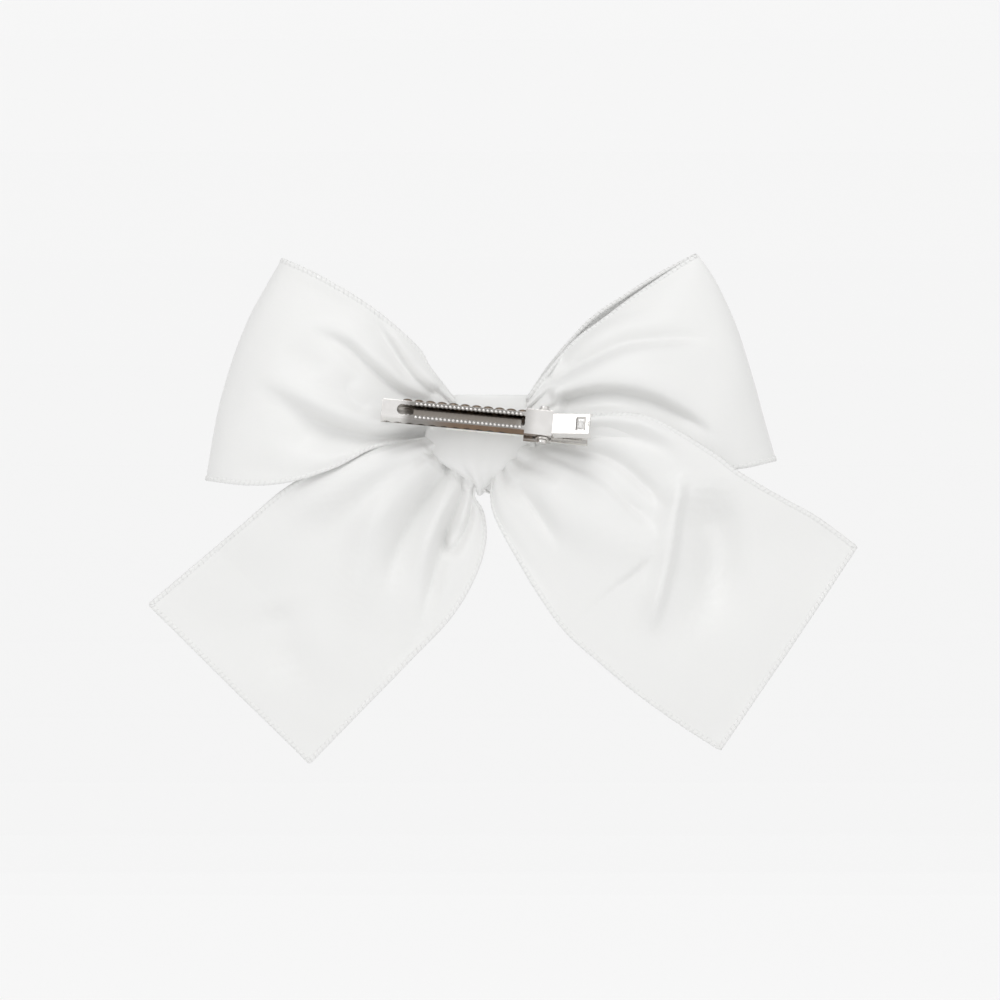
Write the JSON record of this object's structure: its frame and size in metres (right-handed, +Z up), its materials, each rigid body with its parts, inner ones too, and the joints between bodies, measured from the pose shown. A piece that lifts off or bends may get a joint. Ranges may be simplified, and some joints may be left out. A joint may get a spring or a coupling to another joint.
{
  "type": "hair bow",
  "caption": "White satin ribbon hair bow with a gathered knot, seen with its toothed alligator clip on the back.",
  "frame": {"origin": "on the line where the closed jaws meet, behind the knot, 11.35 mm from the hinge pin towards the tips", "axes": "+Z up as worn, +Y towards the bow's decorative front, so the clip side faces -Y, and +X to the right seen from the clip side"},
  "size_m": [0.1556, 0.0332, 0.1124],
  "materials": {
    "nickel_base": "bright nickel plate on stamped steel",
    "nickel_lever": "bright nickel plate on stamped steel",
    "nickel_pin": "bright nickel plate",
    "spring_steel": "plated spring steel",
    "glue": "set clear-white glue",
    "satin_knot": "white duchess satin, gathered",
    "satin_loops": "white duchess satin",
    "satin_tails": "white duchess satin",
    "edging": "white overlocked thread edging",
    "thread": "white sewing thread"
  },
  "bodies": {
    "bow": {"base_arm": "nickel_base", "leaf_spring": "spring_steel", "pivot_pin": "nickel_pin", "glue_pad": "glue", "knot_band": "satin_knot", "knot_stitches": "thread", "gathered_centre": "satin_knot", "binding_thread": "thread", "left_loop": "satin_loops", "right_loop": "satin_loops", "left_tail": "satin_tails", "right_tail": "satin_tails", "left_loop_edging": "edging", "right_loop_edging": "edging", "left_tail_edging": "edging", "right_tail_edging": "edging"},
    "lever": {"lever_arm": "nickel_lever"}
  },
  "joints": [
    {"name": "lever_hinge", "type": "hinge", "parent": "bow", "child": "lever", "pos_m": [0.0113, 0, -0.00107], "axis": [0.0913, 0.2419, 0.966], "range_deg": [0, 22], "stiffness_Nm_per_rad": 0.06, "springref_deg": -34.38, "deforming": ["leaf_spring"]}
  ]
}
